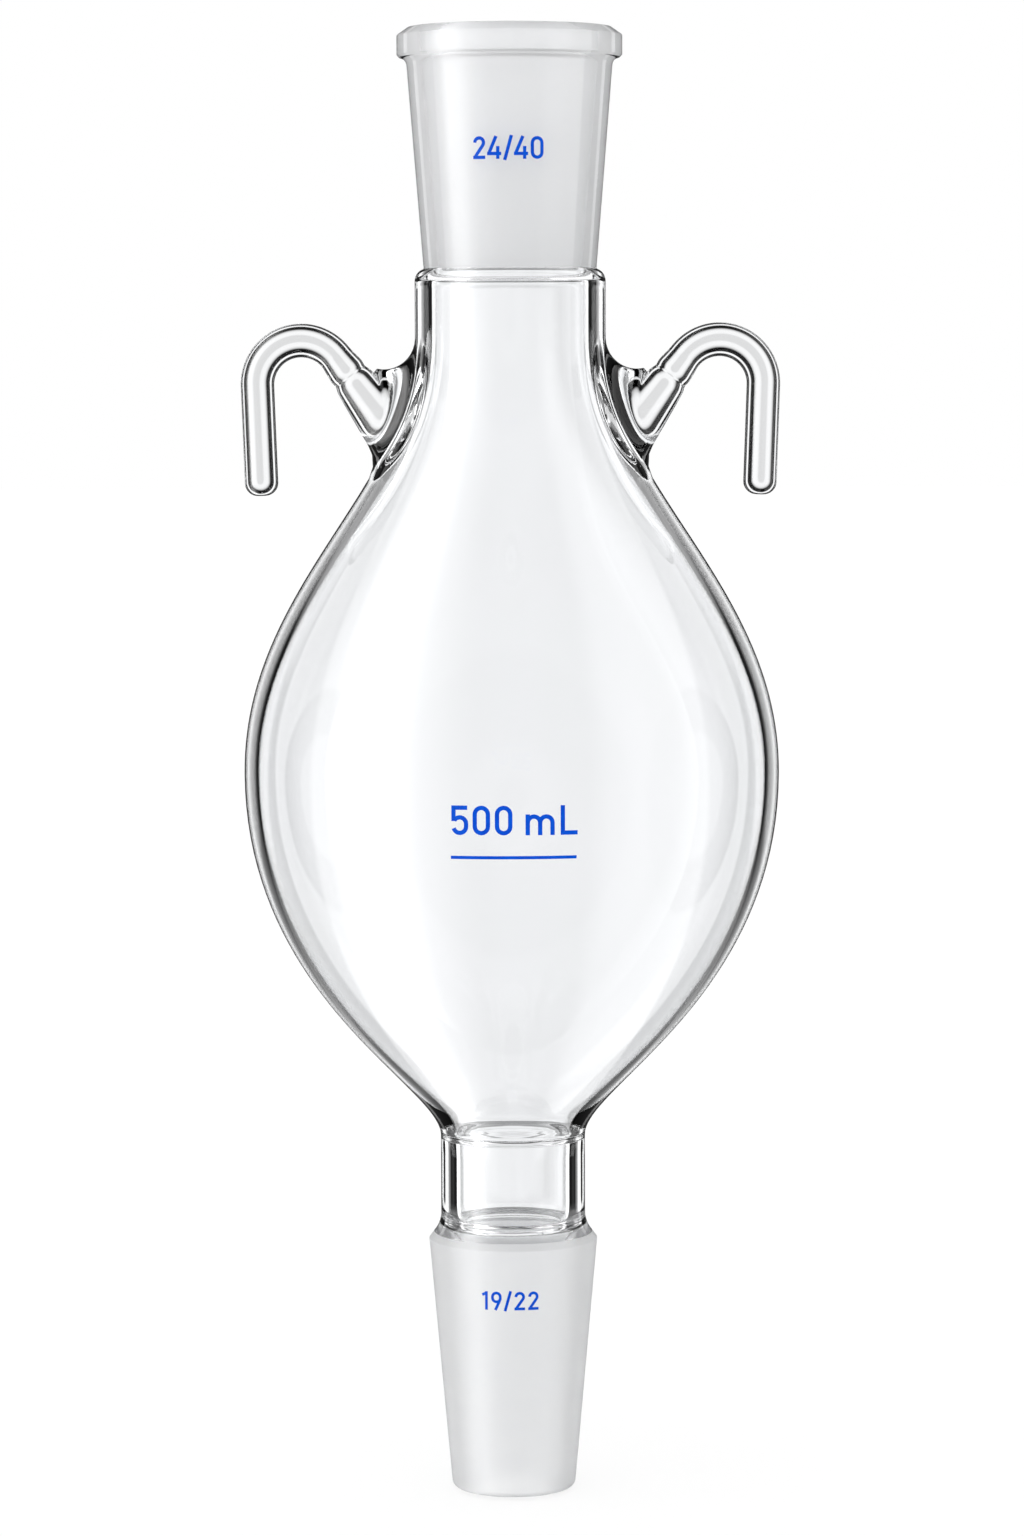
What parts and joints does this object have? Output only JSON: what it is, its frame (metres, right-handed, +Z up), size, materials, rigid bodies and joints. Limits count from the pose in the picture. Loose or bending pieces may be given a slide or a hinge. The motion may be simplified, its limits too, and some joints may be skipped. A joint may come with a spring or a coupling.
{
  "type": "kuderna-danish flask",
  "caption": "Clear glass teardrop concentration flask, open at both ends, with a ground socket above, a ground cone below and a bent rod hook each side.",
  "frame": {"origin": "centre of the flat ring at the lower tip, which is the lowest point of the glass", "axes": "+Z up along the flask's axis from the lower cone to the upper socket; the two hooks stand out along -X and +X"},
  "size_m": [0.095, 0.0948, 0.2594],
  "materials": {
    "clear_glass": "clear polished, ground matt on the upper socket and the lower cone"
  },
  "bodies": {
    "root": {"flask": "clear_glass"}
  },
  "joints": []
}
